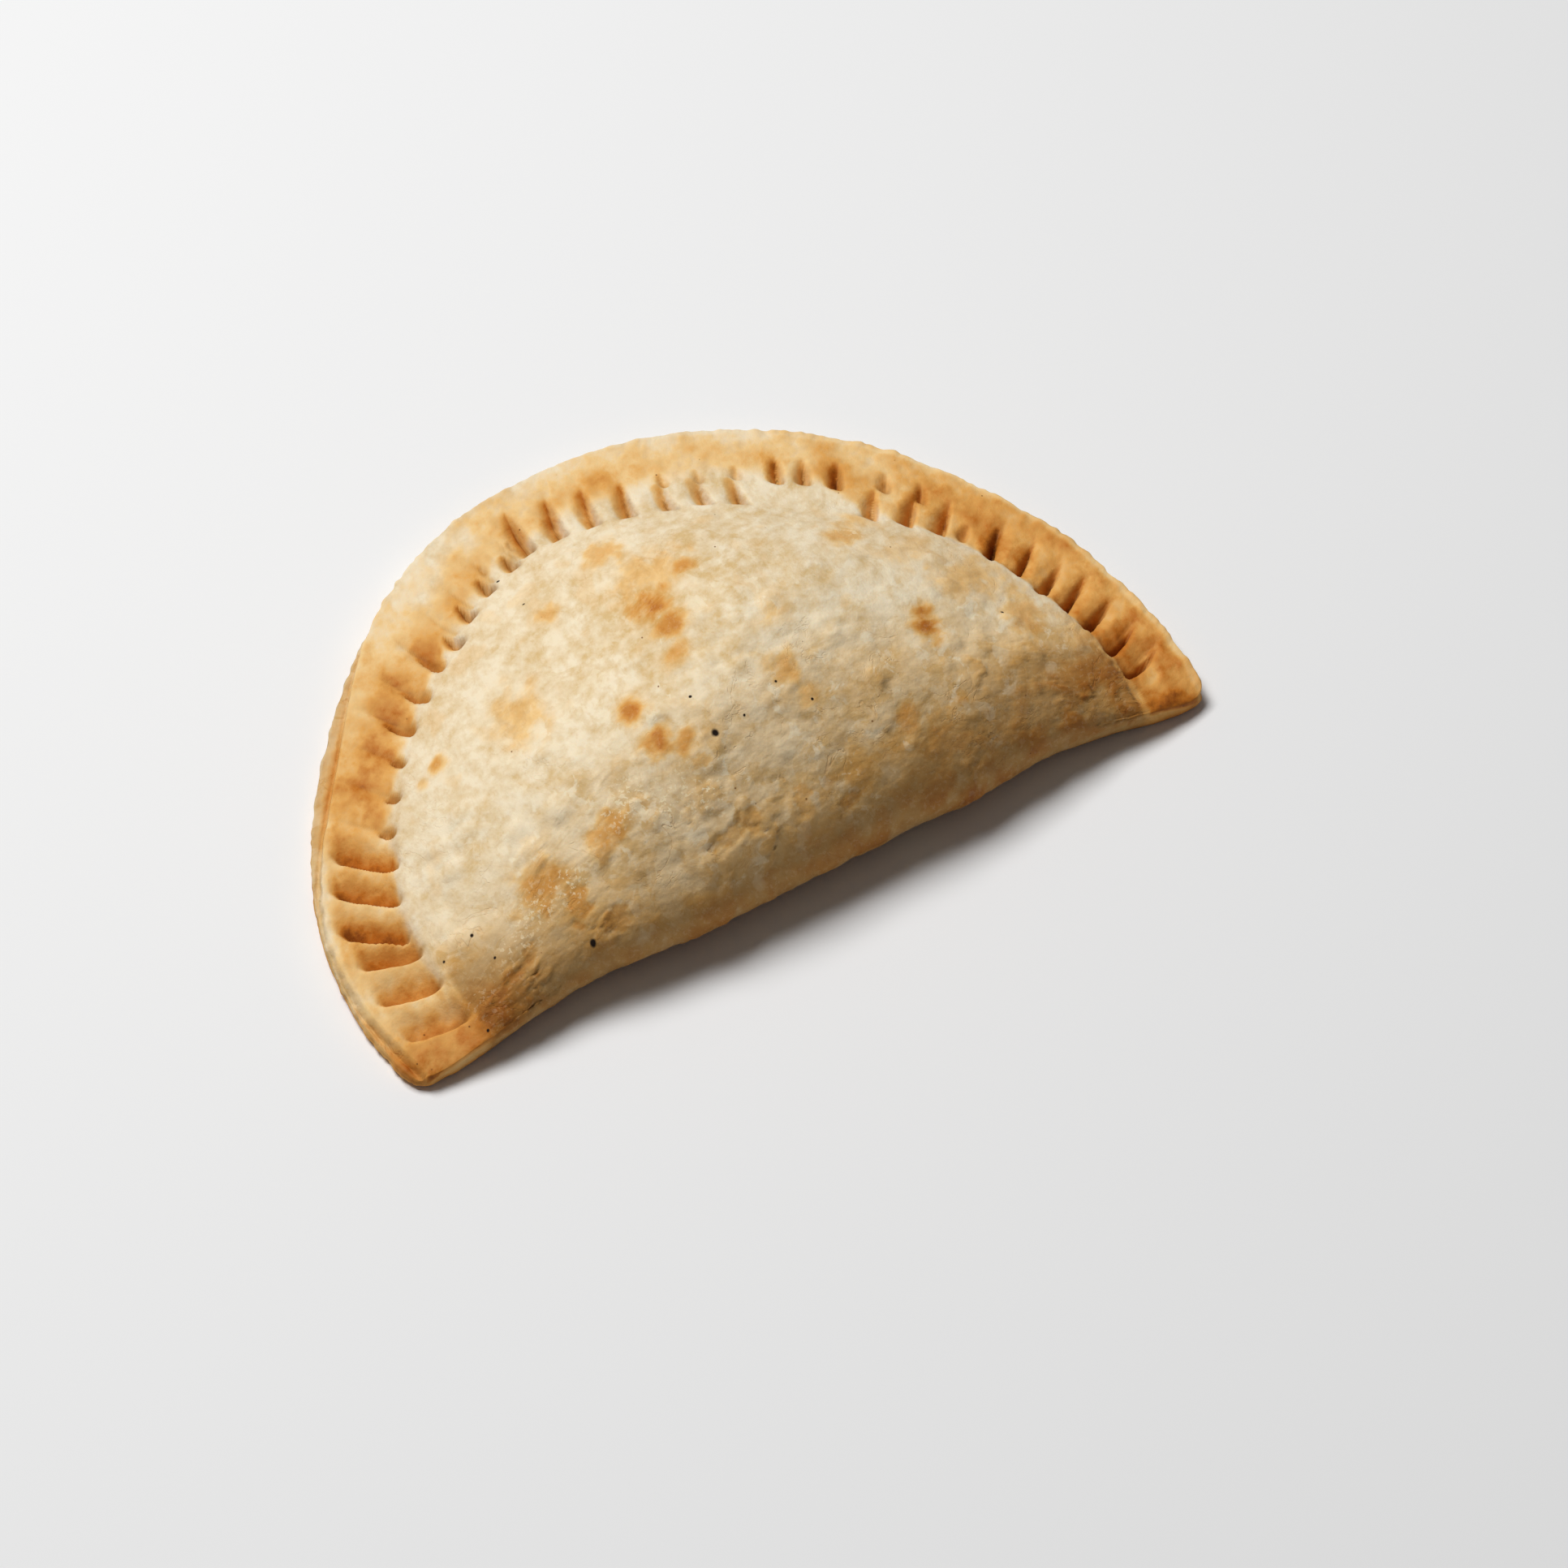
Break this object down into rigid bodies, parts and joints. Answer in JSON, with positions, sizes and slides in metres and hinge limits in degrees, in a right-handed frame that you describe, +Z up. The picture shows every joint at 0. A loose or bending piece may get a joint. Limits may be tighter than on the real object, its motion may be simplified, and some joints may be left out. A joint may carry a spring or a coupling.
{
  "type": "empanada",
  "caption": "Baked half-moon turnover pastry with a domed body, a rounded fold along its straight side and a flat fork-crimped rim around its curved edge.",
  "frame": {"origin": "centre of the bounding box at the underside, on the surface the pastry lies on", "axes": "+X along the folded straight side, +Y from the fold towards the crimped curved edge, +Z up"},
  "size_m": [0.1534, 0.103, 0.0355],
  "materials": {
    "baked_dough": "matt baked shortcrust, pale cream on the body and golden brown on the rim"
  },
  "bodies": {
    "root": {"empanada": "baked_dough"}
  },
  "joints": []
}
